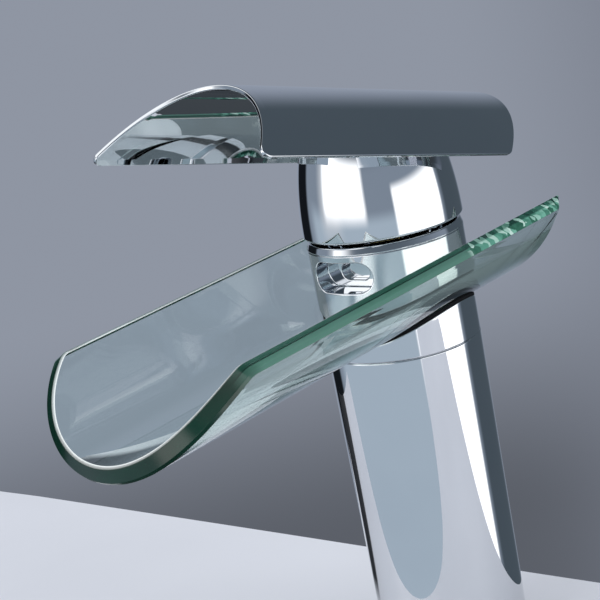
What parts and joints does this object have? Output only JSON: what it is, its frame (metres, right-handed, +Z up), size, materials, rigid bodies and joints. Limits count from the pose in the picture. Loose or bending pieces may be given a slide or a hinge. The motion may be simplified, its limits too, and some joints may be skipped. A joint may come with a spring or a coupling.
{
  "type": "waterfall basin faucet",
  "caption": "Deck-mounted single-lever basin mixer: round chrome column, curved open glass trough as waterfall spout, domed handle with a roof-tile lever.",
  "frame": {"origin": "on the column's axis in the plane of the deck, at the centre of the column's foot", "axes": "+Z up along the column's axis, -Y the way the glass spout points, +X the user's right-hand side when looking along +Y, from the spout's side"},
  "size_m": [0.0722, 0.167, 0.238],
  "materials": {
    "polished_chrome": "mirror-polished chrome plate on brass",
    "tempered_glass": "clear tempered glass with a green edge tint, polished edges",
    "bare_brass": "machined brass, unplated",
    "black_rubber": "matt black sealing rubber",
    "ceramic_disc": "lapped technical ceramic",
    "white_plastic": "moulded acetal, off-white",
    "grey_plastic": "silver-grey moulded plastic",
    "zinc_steel": "zinc-plated steel"
  },
  "bodies": {
    "faucet_body": {"column_shell": "polished_chrome", "inlet_block": "bare_brass", "base_seal": "black_rubber", "hot_riser": "bare_brass", "cold_riser": "bare_brass", "riser_seals": "black_rubber", "fixing_stud": "zinc_steel", "clamp_rubber": "black_rubber", "clamp_plate": "zinc_steel", "stud_nut": "bare_brass", "glass_collar": "polished_chrome", "lower_gasket": "black_rubber", "glass_sleeve": "white_plastic", "upper_gasket": "black_rubber", "glass_spout": "tempered_glass", "neck_plug": "bare_brass", "neck_seals": "black_rubber", "outlet_head": "polished_chrome", "trim_ring": "polished_chrome", "cartridge_base": "white_plastic", "port_seals": "black_rubber", "fixed_disc": "ceramic_disc", "cartridge_housing": "white_plastic", "housing_seal": "black_rubber", "cartridge_nut": "bare_brass"},
    "turn_carrier": {"stem_carrier": "white_plastic", "stem_pin": "zinc_steel"},
    "mixing_disc": {"moving_disc": "ceramic_disc"},
    "handle": {"stem": "bare_brass", "handle_dome": "polished_chrome", "lever_plate": "polished_chrome", "grub_screw": "zinc_steel", "index_plug": "grey_plastic"}
  },
  "joints": [
    {"name": "handle_turn", "type": "hinge", "parent": "faucet_body", "child": "turn_carrier", "pos_m": [0, 0, 0.1208], "axis": [0, 0, 1], "range_deg": [-45, 45]},
    {"name": "handle_lift", "type": "hinge", "parent": "turn_carrier", "child": "handle", "pos_m": [0, 0, 0.1208], "axis": [-1, 0, 0], "range_deg": [0, 20]},
    {"name": "disc_slide", "type": "slide", "parent": "turn_carrier", "child": "mixing_disc", "axis": [0, -1, 0], "range_m": [0, 0.00091]}
  ],
  "couplings": [
    {"joint": "disc_slide", "follows": "handle_lift", "m_per_rad": 0.0026}
  ]
}
